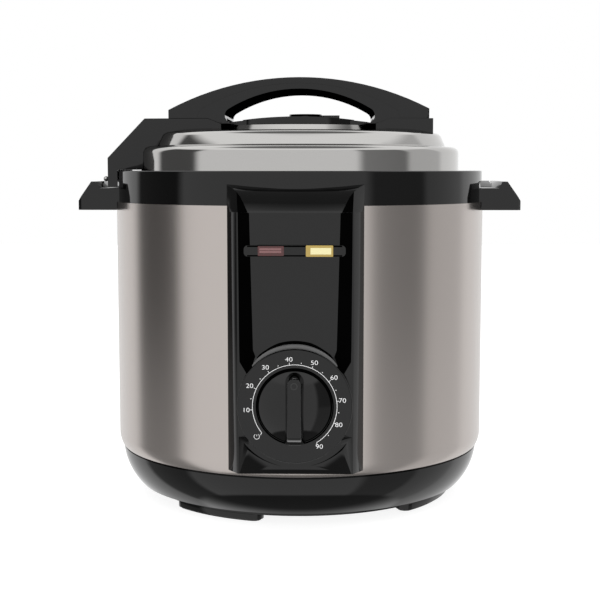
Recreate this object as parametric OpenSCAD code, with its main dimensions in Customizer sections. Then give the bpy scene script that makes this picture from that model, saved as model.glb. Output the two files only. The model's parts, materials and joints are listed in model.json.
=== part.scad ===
// Electric pressure cooker with a steel sleeve, a bayonet lid and a mechanical timer.
// Millimetres. Origin on the floor under the pot's axis, +Z up, control panel towards -Y.

/* [Body] */
// Outer radius of the steel sleeve
sleeve_r = 136.7; // [136:0.1:138]
// Thickness of the sleeve's sheet
sleeve_t = 0.8; // [0.6:0.1:1]
// Height of the sleeve's lower edge
sleeve_bottom = 37.5; // [37:0.1:38.5]
// Outer radius of the black collar
collar_r = 135.9; // [135.6:0.1:136.2]
// Height of the collar's lower edge, where the sleeve ends
collar_bottom = 217.3; // [215:0.1:219]
// Height of the collar's top face
collar_top = 240; // [239.5:0.1:240.4]
// Height of the base shell's upper edge
base_top = 36; // [35:0.1:36.5]
// Height of the feet, pads included
foot_h = 5.4; // [5:0.1:5.6]

/* [Pots] */
// Inner radius of the removable pot
pot_r = 106; // [102:0.5:106]
// Wall thickness of the removable pot
pot_wall = 1.5; // [1:0.1:1.8]
// Height of the heating plate's top face
heater_top = 82; // [78:0.5:90]
// Height of the removable pot's rim
rim_top = 234.2; // [234:0.1:234.3]
// Number of bayonet teeth
teeth = 8; // [4:1:10]

/* [Lid] */
// Outer radius of the lid's skirt
lid_r = 118.5; // [118.2:0.1:118.8]
// Thickness of the lid's sheet
lid_t = 1.5; // [1.2:0.1:1.6]
// Height of the lid's flat top
lid_top = 268; // [266:0.5:269]
// Radius of the black deck under the handle
deck_r = 60; // [58:0.5:62]

/* [Handle] */
// Height of the handle's crown
grip_top = 306.4; // [304:0.1:310]
// Half of the handle's depth at its middle
grip_half_depth = 44; // [40:1:48]
// Height of the joint between the grip and its base
grip_foot = 277.5; // [277:0.1:278]
// Distance from the axis to the outer face of the hanging arm
arm_x = 139.3; // [139:0.1:140.4]

/* [Side handles] */
// Distance from the axis to the tip of a side handle
side_tip = 161.4; // [160:0.1:166]
// Half of a side handle's width
side_half = 34; // [30:1:36]

/* [Panel] */
// Half of the panel's width where it meets the sleeve
panel_half = 45; // [43:0.5:47]
// Distance from the axis to the panel's front face
panel_y = 150; // [149:0.5:151]
// Height of the lamp bar's centre line
lamp_z = 189.3; // [180:0.1:195]
// Height of the dial's centre
dial_z = 88.9; // [86:0.1:90]
// Outer radius of the dial plate
dial_r = 37.3; // [36:0.1:38]
// Outer radius of the timer knob
knob_r = 24; // [22:0.5:24.5]
// Distance from the axis to the front of the knob's grip
knob_front = 172; // [168:0.5:174]

/* [Cup] */
// Distance from the axis to the rear face of the condensation cup
cup_rear = 172; // [168:0.5:174]
// Height of the cup's floor
cup_bottom = 150; // [140:1:160]

/* [Hidden] */
$fn = 96;
ORIGIN = [0, 0, 0];
BIG = 400;
GLOSS_BLACK = [0.06, 0.06, 0.065];
SATIN_BLACK = [0.14, 0.14, 0.145];
STEEL = [0.72, 0.68, 0.67];
POLISHED = [0.8, 0.8, 0.79];
COPPER = [0.8, 0.5, 0.3];
DARK_RUBBER = [0.1, 0.1, 0.1];
SILICONE = [0.85, 0.85, 0.82];

base_floor = foot_h;              // underside of the base shell
ledge_top = base_floor + 6.4;     // inner ledge that the bottom cover screws to
cover_r = 98;
flange_low_r = 113.6;             // upright rim that the feet stand under
flange_low_top = 9.1;
foot_w = 14;
foot_mid_r = flange_low_r - foot_w / 2;
foot_span = 31;                   // degrees between the two round ends' centres
foot_angles = [-121.6, -28.6, 58.4, 151.4];
pad_h = 1.2;

seat_r = 131.5;                   // upstand of the base that the sleeve sits round
skirt_outer = sleeve_r - sleeve_t;
collar_wall = 2.4;
gutter_r = 121;                   // inner face of the collar
gutter_floor = 213.6;
well_outer = 110.5;               // outer pot's outer radius
well_inner = 109;
well_floor = 66;
flange_top = 232.4;
flange_r = 114.8;
shield_r = 118.6;
rim_gap = 0.3;
sensor_r = 11.5;
sensor_hole = 22;
stem_r = 3;
running = 0.05;                   // radial clearance of a running fit

lug_inner = flange_r + 0.4;
skirt_bottom = 225;
skirt_inner = lid_r - lid_t;
crown_step = 4.5;                 // raised centre of the lid
crown_r = 63;
gasket_bottom = rim_top + rim_gap;
plate_z = 249;
exhaust_at = [4, 24];
float_at = [-26, 8];
grip_screw_x = 69;

grip_arc = 207;                   // radius of the handle's crown line
grip_shift = 0.9;                 // the crown sits this far off the axis, away from the arm
opening_arc = 99;                 // radius of the finger opening's top
opening_top = 298.3;
opening_end = 5.5;
opening_half = 48.3;              // centre of the opening's round end
seam_arc = 144;                   // radius of the seam under the handle's cover
seam_top = 302.2;
seam_x = 72.7;
seam_meet = 68.5;                 // where the seam's corner starts
foot_turn = 65.5;                 // where the grip's foot starts to slope down
foot_end = 55.5;
foot_low = 273.6;
grip_end = 93.8;
lens_r = 1000;                    // radius of the handle's two sides in plan

side_top = 227.3;
side_lip = 232.1;
side_floor = 211.4;
pocket_half = 38;
pocket_top = 231.6;
ledge_start = 17.5;               // where the rear ledge of a side handle begins to rise
pin_z = 233.9;
screw_top = 278.4;

trough_r = 42.6;
dial_back = 146;
dial_front = 154;
window_half = 34;
timer_half = 27;
timer_back = 121;
timer_front = 140.5;
shaft_back = 128.3;
bar_front = 153;
lens_x = [-15.2, 15.8];
inlet_z = 58;
inlet_face = 141;

// Points along an arc in the plane, from angle a to angle b
function arc(c, r, a, b, n = 8) =
    [for (i = [0:n]) let (t = a + (b - a) * i / n) [c[0] + r * cos(t), c[1] + r * sin(t)]];

// Rings of a round tube along a route; the axis point decides which way is outward
function ring(p, along, axis, r, sides) =
    let (out = [p[0] - axis[0], p[1] - axis[1], 0])
    let (side = cross(along, out) / norm(cross(along, out)))
    let (up = cross(side, along) / norm(cross(side, along)))
    [for (k = [0:sides - 1]) p + r * (cos(360 * k / sides) * side + sin(360 * k / sides) * up)];

module tube(route, r, axis = ORIGIN, sides = 8) {
    n = len(route);
    rings = [for (i = [0:n - 1])
        each ring(route[i], route[min(i + 1, n - 1)] - route[max(i - 1, 0)], axis, r, sides)];
    walls = [for (i = [0:n - 2], k = [0:sides - 1])
        let (j = (k + 1) % sides)
        [i * sides + k, (i + 1) * sides + k, (i + 1) * sides + j, i * sides + j]];
    start = [for (k = [0:sides - 1]) k];
    finish = [for (k = [sides - 1:-1:0]) (n - 1) * sides + k];
    polyhedron(rings, concat(walls, [start, finish]));
}

// Flat plate with rounded corners, its back at y = 0 and its front at y = -t
module plate(w, h, t, r) {
    rotate([90, 0, 0])
        linear_extrude(t) {
            square([w - 2 * r, h], center = true);
            square([w, h - 2 * r], center = true);
            for (x = [-1, 1], y = [-1, 1])
                translate([x * (w / 2 - r), y * (h / 2 - r)]) circle(r);
        }
}

// Cylinder along Y from y = a to y = b
module along_y(r, a, b) {
    translate([0, b, 0]) rotate([90, 0, 0]) cylinder(r = r, h = b - a);
}

// Box between two corners
module box(low, high) {
    translate(low) cube(high - low);
}

module base_shell() {
    color(GLOSS_BLACK)
    rotate_extrude()
        polygon(concat(
            arc([90, 39.6], 43.95, -4.7, -43.9, 12),
            [[flange_low_r, flange_low_top], [flange_low_r, base_floor], [cover_r, base_floor],
             [cover_r, ledge_top - 2.3], [92, ledge_top - 2.3], [92, ledge_top]],
            arc([88, 39.6], 41.5, -42, -5, 12),
            [[seat_r - 2, base_top + 10], [seat_r, base_top + 10], [seat_r, base_top]]));
}

module cover_screw_places() {
    for (a = [30, 150, 270]) rotate([0, 0, a]) translate([95, 0, 0]) children();
}

module bottom_cover() {
    color(SATIN_BLACK)
    difference() {
        translate([0, 0, base_floor + 0.2]) cylinder(r = cover_r - 0.4, h = ledge_top - 2.5 - base_floor);
        cover_screw_places() cylinder(r = 1.7, h = 20);
        for (row = [-2:2], side = [-1, 1])
            box([side * 34 - 22, row * 16 - 2, 0], [side * 34 + 22, row * 16 + 2, 20]);
    }
}

module cover_screws() {
    color(POLISHED)
    cover_screw_places() {
        translate([0, 0, base_floor + 0.2 - 1.6]) cylinder(r = 3, h = 1.6);
        translate([0, 0, base_floor + 0.2]) cylinder(r = 1.6, h = 2.3);
    }
}

// Arc of a ring with round ends, flat on both faces
module foot_bar(width, low, high, at) {
    end = width / 2;
    tip = foot_mid_r * [cos(foot_span), sin(foot_span)];
    rotate([0, 0, at]) translate([0, 0, low]) linear_extrude(high - low)
        polygon(concat(
            arc([0, 0], foot_mid_r + end, 0, foot_span, 12),
            arc(tip, end, foot_span + 15, foot_span + 165, 10),
            arc([0, 0], foot_mid_r - end, foot_span, 0, 12),
            arc([foot_mid_r, 0], end, -165, -15, 10)));
}

module foot(i) {
    color(GLOSS_BLACK) foot_bar(foot_w, pad_h, foot_h, foot_angles[i] - foot_span / 2);
}

module foot_pads() {
    color(DARK_RUBBER)
    for (at = foot_angles) foot_bar(foot_w - 4, 0, pad_h, at - foot_span / 2);
}

module outer_sleeve() {
    roll_r = 18.2;
    roll_z = 46;
    color(STEEL)
    difference() {
        rotate_extrude()
            polygon(concat(
                [[skirt_outer, collar_bottom], [sleeve_r, collar_bottom]],
                arc([sleeve_r - roll_r, roll_z], roll_r, 0, -27.8),
                [[seat_r, sleeve_bottom], [seat_r, sleeve_bottom + sleeve_t]],
                arc([sleeve_r - roll_r, roll_z], roll_r - sleeve_t, -26.2, 0)));
        box([-window_half, -BIG, 58], [window_half, 0, 205]);
        box([-24, 0, 44.5], [24, BIG, 71.5]);
        translate([0, 0, 211]) along_y(4.2, 100, 160);
    }
}

module side_screw_places() {
    for (a = [-12, 12, 168, 192]) rotate([0, 0, a]) translate([0, 0, 223]) rotate([0, 90, 0]) children();
}

module collar() {
    edge = 0.9;
    color(GLOSS_BLACK)
    difference() {
        rotate_extrude()
            polygon(concat(
                arc([gutter_r + edge, collar_top - edge], edge, 180, 90, 4),
                arc([collar_r - edge, collar_top - edge], edge, 90, 0, 4),
                [[collar_r, collar_bottom], [skirt_outer, collar_bottom], [skirt_outer, 206],
                 [skirt_outer - collar_wall, 206], [collar_r - collar_wall, collar_bottom + 2],
                 [collar_r - collar_wall, collar_top - collar_wall],
                 [gutter_r + collar_wall, collar_top - collar_wall],
                 [gutter_r + collar_wall, gutter_floor - collar_wall],
                 [well_outer, gutter_floor - collar_wall], [well_outer, gutter_floor],
                 [gutter_r, gutter_floor]]));
        for (side = [0, 180]) rotate([0, 0, side])
            box([126, -pocket_half, collar_bottom], [BIG, pocket_half, pocket_top]);
        side_screw_places() cylinder(r = 1.9, h = BIG);
        translate([0, 0, 211]) along_y(4.2, 125, 160);
    }
}

// Side handle on +X: stepped top, raised lip and a ledge that rises to the rear.
// The one on -X is turned, with its ledge mirrored so that both rise to the rear.
module side_handle(turn) {
    corner = 2.4;
    color(SATIN_BLACK)
    difference() {
        rotate([0, 0, turn])
        union() {
            intersection() {
                rotate([90, 0, 0]) translate([0, 0, -side_half]) linear_extrude(2 * side_half)
                    polygon([[120, side_floor], [side_tip, side_floor], [side_tip, side_floor + 6.7],
                             [side_tip - 9.9, side_lip], [side_tip - 13.7, side_lip],
                             [side_tip - 15.8, side_top], [120, side_top]]);
                linear_extrude(BIG)
                    polygon([[120, -side_half], [side_tip - corner, -side_half], [side_tip, corner - side_half],
                             [side_tip, side_half - corner], [side_tip - corner, side_half],
                             [120, side_half]]);
            }
            mirror([0, turn == 0 ? 0 : 1, 0])
            translate([138.6, 0, 0]) rotate([90, 0, 90]) linear_extrude(side_tip - 14.8 - 138.6)
                polygon([[ledge_start, side_top - 1], [side_half, side_top - 1], [side_half, side_lip],
                         [ledge_start, side_top + 0.3]]);
        }
        cylinder(r = sleeve_r + 0.3, h = collar_bottom);
        cylinder(r = gutter_r + collar_wall + 0.2, h = BIG);
        side_screw_places() cylinder(r = 1.8, h = 136);
    }
}

module side_handle_screws() {
    color(POLISHED)
    side_screw_places() {
        translate([0, 0, gutter_r - 1.7]) cylinder(r = 3, h = 1.6);
        translate([0, 0, gutter_r - 0.2]) cylinder(r = 1.8, h = 13);
    }
}

// Flat sheet in the XZ plane, its front at y = -at
module front_sheet(points, at) {
    translate([0, 0.02 - at, 0]) rotate([90, 0, 0]) linear_extrude(0.02) polygon(points);
}

module panel_solid() {
    root = 129;                  // where the side faces meet the sleeve
    mid = 139.8;                 // step of the side faces round the dial
    upper = 213.4;
    top = 231.8;
    bottom = 41.3;
    ramp_top = 62;
    // low body round the dial
    translate([0, 0, bottom]) linear_extrude(upper - bottom)
        polygon([[-panel_half, -120], [-panel_half, -root], [-38, -mid], [38, -mid],
                 [panel_half, -root], [panel_half, -120]]);
    // raised upper face, narrowing towards the dial
    hull() {
        front_sheet([[-29.2, upper], [29.2, upper], [27, 125], [25.5, 121], [22, 118],
                     [-22, 118], [-25.5, 121], [-27, 125]], panel_y);
        front_sheet([[-38, upper], [38, upper], [37.4, 115], [31, 104],
                     [-31, 104], [-37.4, 115]], mid - 1);
    }
    // curved top that runs back to the collar
    intersection() {
        translate([0, 0, upper]) linear_extrude(top - upper)
            polygon([[-panel_half, -120], [-panel_half, -root], [-30, -panel_y], [30, -panel_y],
                     [panel_half, -root], [panel_half, -120]]);
        rotate([90, 0, 90]) translate([0, 0, -60]) linear_extrude(120)
            polygon([[-110, upper - 1], [-panel_y, upper - 1], [-panel_y, upper], [1 - panel_y, 215],
                     [3.6 - panel_y, 218.7], [7.1 - panel_y, 223.4], [11 - panel_y, 226.6],
                     [15.5 - panel_y, 229.2], [20 - panel_y, 230.9], [24 - panel_y, top],
                     [-110, top]]);
    }
    // ramp under the dial, running in to the sleeve's lower edge
    intersection() {
        translate([0, 0, bottom]) linear_extrude(ramp_top + 4 - bottom)
            polygon([[-panel_half, -120], [-panel_half, -root], [-30, -panel_y], [30, -panel_y],
                     [panel_half, -root], [panel_half, -120]]);
        rotate([90, 0, 90]) translate([0, 0, -60]) linear_extrude(120)
            polygon([[-110, bottom], [-140.2, bottom], [-panel_y, ramp_top], [-panel_y, ramp_top + 4],
                     [-110, ramp_top + 4]]);
    }
    // boss behind the dial plate
    translate([0, 0, dial_z]) along_y(dial_r, -dial_back, -120);
}

module panel_housing() {
    color(GLOSS_BLACK)
    difference() {
        panel_solid();
        cylinder(r = sleeve_r, h = collar_bottom);
        cylinder(r = collar_r, h = BIG);
        // trough under the dial plate
        intersection() {
            translate([0, 0, dial_z]) along_y(trough_r, -BIG, -143);
            box([-BIG, -BIG, 0], [BIG, 0, dial_z - 26]);
            difference() {
                translate([0, 0, dial_z]) along_y(trough_r + 1, -BIG, -143);
                translate([0, 0, dial_z]) along_y(dial_r, -BIG, 0);
            }
        }
        translate([0, 0, dial_z]) along_y(dial_r, -BIG, -dial_back);
        translate([0, 0, dial_z]) along_y(5, -BIG, -130);
        box([-timer_half - 1, -timer_front, dial_z - timer_half - 1], [timer_half + 1, -60, dial_z + timer_half + 1]);
        box([-25, -147, 128], [25, -60, 205]);
        box([-15, -timer_front, 110], [15, -60, 130]);
        for (x = lens_x) box([x - 8.5, -160, lamp_z - 3], [x + 8.5, -140, lamp_z + 3]);
    }
}

module dial_plate() {
    color(SATIN_BLACK)
    translate([0, 0, dial_z]) rotate([90, 0, 0])
    rotate_extrude()
        polygon(concat(
            [[4, dial_back], [dial_r, dial_back]],
            arc([dial_r - 1, dial_front - 1], 1, 0, 90, 4),
            [[25.2, dial_front], [24.4, dial_front - 1.4], [4, dial_front - 1.4]]));
}

module lamp_bar() {
    color(GLOSS_BLACK)
    difference() {
        translate([0, -panel_y, lamp_z]) plate(65, 7.2, bar_front - panel_y, 2.6);
        for (x = lens_x) box([x - 8.1, -160, lamp_z - 2.9], [x + 8.1, -140, lamp_z + 2.9]);
    }
}

// Lens with a stepped flange, its face proud of the bar
module lamp_lens(x, w, h) {
    translate([x, 0, lamp_z]) {
        translate([0, -147, 0]) plate(16.2, 5.8, bar_front - 147, 0.6);
        translate([0, -bar_front, 0]) plate(w, h, 0.6, 0.6);
    }
}

module cooking_lamp_lens() {
    color([0.55, 0.08, 0.08]) lamp_lens(lens_x[0], 16.6, 6.2);
}

module warm_lamp_lens() {
    color([1, 0.93, 0.65]) lamp_lens(lens_x[1], 17.4, 7.2);
}

module lamp_board() {
    color([0.1, 0.35, 0.2]) {
        box([-25, -145, lamp_z - 8], [25, -143.4, lamp_z + 8]);
        for (x = lens_x) translate([x, 0, lamp_z]) along_y(2.4, -147, -144);
    }
}

module timer_body() {
    color([0.75, 0.75, 0.72])
    difference() {
        union() {
            box([-timer_half, -timer_front, dial_z - timer_half], [timer_half, -timer_back - 4, dial_z + timer_half]);
            translate([0, 0, dial_z]) along_y(20, -timer_back - 4.5, -timer_back);
        }
        translate([0, 0, dial_z]) along_y(stem_r + running, -BIG, -shaft_back + 0.3);
    }
}

module timer_shaft() {
    color(POLISHED) translate([0, 0, dial_z]) along_y(stem_r, -164, -shaft_back);
}

// Knob with a domed skirt and a bar grip, drawn pointing straight up
module timer_knob() {
    skirt = dial_front - 1.1;
    color(GLOSS_BLACK)
    translate([0, 0, dial_z])
    difference() {
        union() {
            rotate([90, 0, 0]) rotate_extrude()
                polygon(concat(
                    [[0, skirt], [knob_r, skirt], [knob_r, skirt + 2.4]],
                    arc([knob_r - 6, 160], 5, 0, 80, 6),
                    [[0, 165.4]]));
            intersection() {
                translate([0, 0, -1]) rotate([90, 0, 0]) linear_extrude(knob_front) {
                    square([10.4, 36], center = true);
                    translate([0, 18.2]) circle(5.2);
                    translate([0, -20]) square([10.4, 10], center = true);
                }
                rotate([90, 0, 90]) translate([0, 0, -20]) linear_extrude(40)
                    polygon(concat(
                        [[-skirt, -22.6], [-dial_front - 0.4, -22.6], [-dial_front - 0.4, -25.4],
                         [-skirt - 6, -25.8]],
                        arc([-knob_front + 5, -20.6], 5, -90, -180, 5),
                        arc([-knob_front + 5, 14], 5, 180, 130, 5),
                        [[-skirt, 23.5]]));
            }
        }
        along_y(stem_r, -164, 0);
    }
}

module outer_pot() {
    color([0.8, 0.8, 0.8])
    difference() {
        rotate_extrude()
            polygon([[sensor_hole, well_floor], [well_outer - 4, well_floor], [well_outer, well_floor + 4],
                     [well_outer, flange_top - 2.4], [flange_r, flange_top - 2.4], [flange_r, flange_top],
                     [well_inner, flange_top], [well_inner, well_floor + 4.6],
                     [well_inner - 2.8, well_floor + 1.8], [sensor_hole, well_floor + 1.8]]);
        for (i = [0:teeth - 1]) rotate([0, 0, i * 360 / teeth])
            rotate_extrude(angle = 22) translate([well_outer + 0.7, flange_top - 4]) square([10, 6]);
        for (y = [-9, 9]) translate([70, y, well_floor - 1]) cylinder(r = 5, h = 4);
    }
}

module heat_shield() {
    color(STEEL)
    difference() {
        cylinder(r = shield_r, h = gutter_floor - collar_wall);
        translate([0, 0, -1]) cylinder(r = shield_r - 0.6, h = BIG);
        translate([0, 0, -1]) cylinder(r = BIG, h = 57);
    }
}

module heating_plate() {
    color([0.78, 0.78, 0.78])
    difference() {
        union() {
            rotate_extrude()
                polygon(concat([[20, heater_top - 8], [92, heater_top - 8]],
                    arc([93, heater_top - 3], 3, -60, 80, 5), [[20, heater_top]]));
            rotate_extrude() translate([70, heater_top - 8.4]) circle(4);
            for (a = [90, 210, 330]) rotate([0, 0, a]) translate([85, 0, well_floor + 1.8])
                cylinder(r = 5, h = heater_top - 7 - well_floor - 1.8);
        }
        for (y = [-9, 9]) translate([70, y, 0]) cylinder(r = 3, h = heater_top - 6);
    }
}

module heater_terminals() {
    color(SILICONE)
    for (y = [-9, 9]) translate([70, y, 52]) {
        cylinder(r = 3, h = heater_top - 6 - 52);
        translate([-3, -0.4, -8]) cube([6, 0.8, 8.5]);
    }
}

module support_posts() {
    color(STEEL)
    for (a = [90, 210, 330]) rotate([0, 0, a]) {
        box([93, -9, ledge_top], [95, 9, well_floor]);
        box([93, -9, well_floor - 2], [104, 9, well_floor]);
        box([93, -9, ledge_top], [108, 9, ledge_top + 2]);
    }
}

module sensor_guide() {
    color(SATIN_BLACK)
    difference() {
        union() {
            translate([0, 0, well_floor - 2]) cylinder(r = sensor_hole + 4, h = 2);
            translate([0, 0, well_floor - 10]) cylinder(r = 6, h = 9);
        }
        cylinder(r = stem_r + running, h = BIG);
    }
}

module sensor_spring() {
    turns = 4;
    coil_r = 7.5;
    wire_r = 0.6;
    low = well_floor + wire_r;
    high = heater_top - 5 - wire_r;
    color(POLISHED)
    tube([for (i = [0:turns * 14]) let (t = i / 14)
        [coil_r * cos(360 * t), coil_r * sin(360 * t), low + (high - low) * t / turns]], wire_r);
}

module sensor_button() {
    color([0.8, 0.8, 0.8]) {
        translate([0, 0, heater_top - 5]) cylinder(r = sensor_r, h = 5);
        translate([0, 0, well_floor - 14]) cylinder(r = stem_r, h = heater_top - 5 - well_floor + 14);
    }
}

module pressure_switch() {
    color(SATIN_BLACK) {
        box([38, 30, 48], [62, 44, 61]);
        translate([50, 37, 60.5]) cylinder(r = 2.5, h = well_floor - 60.5);
        for (x = [42, 50, 58]) box([x - 1.5, 36, 42], [x + 1.5, 36.8, 48.5]);
    }
}

module thermal_fuse() {
    color(POLISHED)
    translate([-45, 0, well_floor - 3]) {
        along_y(2.4, 28, 46);
        along_y(0.6, 20, 54);
        box([-1.5, 32, 0], [1.5, 42, 3]);
    }
}

module terminal_block() {
    color([0.9, 0.88, 0.8])
    difference() {
        box([22, 84, ledge_top], [58, 96, ledge_top + 14]);
        for (x = [28, 40, 52]) translate([x, 90, ledge_top + 5]) cylinder(r = 2.6, h = 20);
    }
}

// Two leads that run round inside the base from the inlet to the timer
module wiring_loom() {
    lead_r = 1.5;
    run_r = 124;
    run_z = 28;
    color(COPPER)
    for (side = [-1, 1]) {
        tube([for (i = [0:30])
            let (t = i / 30)
            let (at = 90 - side * (4 + 172 * t))
            let (lift_in = max(0, 1 - t * 6))
            let (lift_out = max(0, t * 6 - 5))
            let (z = run_z + 16 * lift_in * lift_in + (dial_z - timer_half - run_z) * lift_out * lift_out)
            [run_r * cos(at), run_r * sin(at), z]], lead_r);
        tube([for (z = [dial_z + timer_half, 130, 150, 170, lamp_z - 8]) [side * 10, -142 + 4.4, z]], 1);
    }
}

module mains_inlet() {
    color(GLOSS_BLACK)
    difference() {
        union() {
            difference() {
                translate([0, inlet_face, inlet_z]) plate(52, 32, 14, 4);
                cylinder(r = sleeve_r, h = BIG);
            }
            box([-22, 121, inlet_z - 12], [22, inlet_face - 1, inlet_z + 12]);
        }
        difference() {
            box([-12.4, inlet_face - 17, inlet_z - 8.4], [12.4, BIG, inlet_z + 8.4]);
            for (side = [-1, 1]) translate([side * 12.4, inlet_face, inlet_z + 8.4]) rotate([0, 45, 0])
                cube([5, 60, 5], center = true);
        }
    }
}

module inlet_pins() {
    color(POLISHED)
    for (p = [[-7, -2], [0, 2], [7, -2]])
        translate([p[0], inlet_face - 17, inlet_z + p[1]]) box([-1, 0, -2], [1, 11, 2]);
}

// Roof with two side rails that the cup's rim slides into, and a drain spout
module cup_holder() {
    color(GLOSS_BLACK)
    difference() {
        union() {
            difference() {
                union() {
                    box([-28, 120, 205.6], [28, 166, 215]);
                    for (side = [-1, 1])
                        box([side * 25.3 - 2.7, 120, 197.4], [side * 25.3 + 2.7, 166, 206]);
                }
                cylinder(r = sleeve_r, h = BIG);
                for (side = [-1, 1]) box([side * 24 - 1.7, 60, 201], [side * 24 + 1.7, BIG, 203.6]);
            }
            translate([0, 0, 211]) along_y(4, 124, 140);
        }
        translate([0, 0, 211]) along_y(2.6, 60, 150);
        translate([0, 146, 190]) cylinder(r = 1.8, h = 21);
    }
}

module condensation_cup() {
    wall = 1.6;
    front = 138.4;
    top = 205.2;
    color([0.85, 0.87, 0.88])
    difference() {
        union() {
            box([-22, front, cup_bottom], [22, cup_rear, top]);
            box([-25.3, front, 201.4], [25.3, 166, 203.2]);
        }
        box([-22 + wall, front + wall, cup_bottom + wall], [22 - wall, cup_rear - wall, BIG]);
        translate([0, 0, cup_bottom - 30]) cylinder(r = sleeve_r + 0.6, h = 120);
    }
}

module inner_pot() {
    bottom = heater_top + rim_gap;
    outer = pot_r + pot_wall;
    curve = 10;
    color(POLISHED)
    rotate_extrude()
        polygon(concat(
            [[0, bottom]],
            arc([outer - curve, bottom + curve], curve, -90, 0, 6),
            [[outer, rim_top - pot_wall], [113.2, rim_top - pot_wall], [113.2, rim_top],
             [pot_r, rim_top]],
            arc([outer - curve, bottom + curve], curve - pot_wall, 0, -90, 6),
            [[0, bottom + pot_wall]]));
}

module lid_gasket() {
    outer = skirt_inner - 0.3;
    color(SILICONE)
    rotate_extrude()
        polygon([[105.5, gasket_bottom + 1.4], [107, gasket_bottom], [outer, gasket_bottom],
                 [outer, gasket_bottom + 6.5], [106, gasket_bottom + 6.5], [105.5, gasket_bottom + 5.6],
                 [112.6, gasket_bottom + 4.6], [112.6, gasket_bottom + 2.2]]);
}

// Upper outline of the lid from the skirt inwards, moved in by a sheet's thickness
function lid_line(inset) = concat(
    arc([lid_r - 4.6, 252.4], 4.6 - inset, 0, 90, 6),
    [[109.8 - inset * 0.6, 257.2 - inset], [108.4 - inset, 258 - inset * 0.6]],
    arc([lid_r - 17.2, 262.4], 4.8 - inset, 28, 78, 5),
    [[95, lid_top - inset], [crown_r - inset * 0.75, lid_top - inset],
     [crown_r - 1.5 - inset * 0.75, lid_top + crown_step - inset], [0, lid_top + crown_step - inset]]);

module lid_envelope() {
    rotate_extrude() polygon(concat([[0, 200], [lid_r, 200]], lid_line(0)));
}

module lid_shell() {
    inner = lid_line(lid_t);
    back = [for (i = [len(inner) - 1:-1:0]) inner[i]];
    color(POLISHED)
    difference() {
        union() {
            rotate_extrude()
                polygon(concat([[lid_r, skirt_bottom]], lid_line(0), back, [[skirt_inner, skirt_bottom]]));
            for (i = [0:teeth - 1]) rotate([0, 0, 12 + i * 360 / teeth])
                rotate_extrude(angle = 20) translate([lug_inner, skirt_bottom]) square([skirt_inner + 0.5 - lug_inner, 2.6]);
        }
        translate([exhaust_at[0], exhaust_at[1], 0]) cylinder(r = 4.6, h = BIG);
        translate([float_at[0], float_at[1], 0]) cylinder(r = 3.5, h = BIG);
        cylinder(r = 4, h = BIG);
        for (x = [-grip_screw_x, grip_screw_x]) translate([x, 0, 0]) cylinder(r = 2.5, h = BIG);
    }
}

module lid_deck() {
    top = 278;
    crown = 403;                 // radius of the deck's arched top
    color(GLOSS_BLACK)
    difference() {
        intersection() {
            translate([0, 0, lid_top + crown_step]) cylinder(r = deck_r, h = 20);
            translate([0, 0, top - crown]) along_y(crown, -deck_r - 5, deck_r + 5, $fn = 900);
        }
        for (side = [-1, 1]) box([side * 47 - 10, -70, 272.6], [side * 47 + 10, -35, 276]);
        cylinder(r = 4, h = 276);
        translate([exhaust_at[0], exhaust_at[1], 0]) cylinder(r = 4.6, h = BIG);
        translate([float_at[0], float_at[1], 0]) cylinder(r = 5.2, h = BIG);
    }
}

// The handle's outline in plan: two wide arcs that meet beyond the arm
module lens_prism() {
    intersection() {
        children();
        translate([0, lens_r - grip_half_depth, 200]) cylinder(r = lens_r, h = 140, $fn = 240);
        translate([0, grip_half_depth - lens_r, 200]) cylinder(r = lens_r, h = 140, $fn = 240);
    }
}

module side_profile(points) {
    rotate([90, 0, 0]) translate([0, 0, -60]) linear_extrude(120) polygon(points);
}

module handle_base_left() {
    color(SATIN_BLACK)
    difference() {
        lens_prism()
            side_profile([[-foot_turn, grip_foot], [-foot_end, foot_low], [-foot_end, 250], [-30, 245],
                          [-130, 228], [-arm_x, 228], [-arm_x, 249.2], [-arm_x + 27.8, grip_foot]]);
        lid_envelope();
        cylinder(r = collar_r + 0.5, h = collar_top + 0.6);
        cylinder(r = deck_r, h = BIG);
        translate([-grip_screw_x, 0, 0]) cylinder(r = 2.5, h = BIG);
        translate([0, 0, pin_z]) rotate([0, -90, 0]) cylinder(r = 1.2, h = BIG);
        box([-BIG, ledge_start - 0.5, 220], [-128, BIG, side_lip + 0.8]);
    }
}

module handle_base_right() {
    color(SATIN_BLACK)
    difference() {
        lens_prism()
            side_profile([[foot_end, 250], [96.7, 250], [96.7, grip_foot], [foot_turn, grip_foot],
                          [foot_end, foot_low]]);
        lid_envelope();
        cylinder(r = deck_r, h = BIG);
        translate([grip_screw_x, 0, 0]) cylinder(r = 2.5, h = BIG);
    }
}

function grip_crown(top, r, x) = top - r + sqrt(r * r - pow(x - grip_shift, 2));

// Seam under the cover: an arc that turns down into the joint through a round corner
function seam_line() =
    let (corner = 8, lean = asin(seam_meet / seam_arc))
    let (c = [seam_meet - corner * sin(lean), seam_top - seam_arc + (seam_arc - corner) * cos(lean)])
    concat(
        [[-seam_x, grip_foot]],
        arc([-c[0], c[1]], corner, 180, 90 + lean, 4),
        [for (i = [1:15]) let (x = -seam_meet + 2 * seam_meet * i / 16)
            [x, seam_top - seam_arc + sqrt(seam_arc * seam_arc - x * x)]],
        arc(c, corner, 90 - lean, 0, 4),
        [[seam_x, grip_foot]]);

// Points along the top of an arc of radius r, from x = a to x = b
function crown_line(top, r, a, b, n = 16) =
    [for (i = [0:n]) let (x = a + (b - a) * i / n) [x, grip_crown(top, r, x)]];

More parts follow.
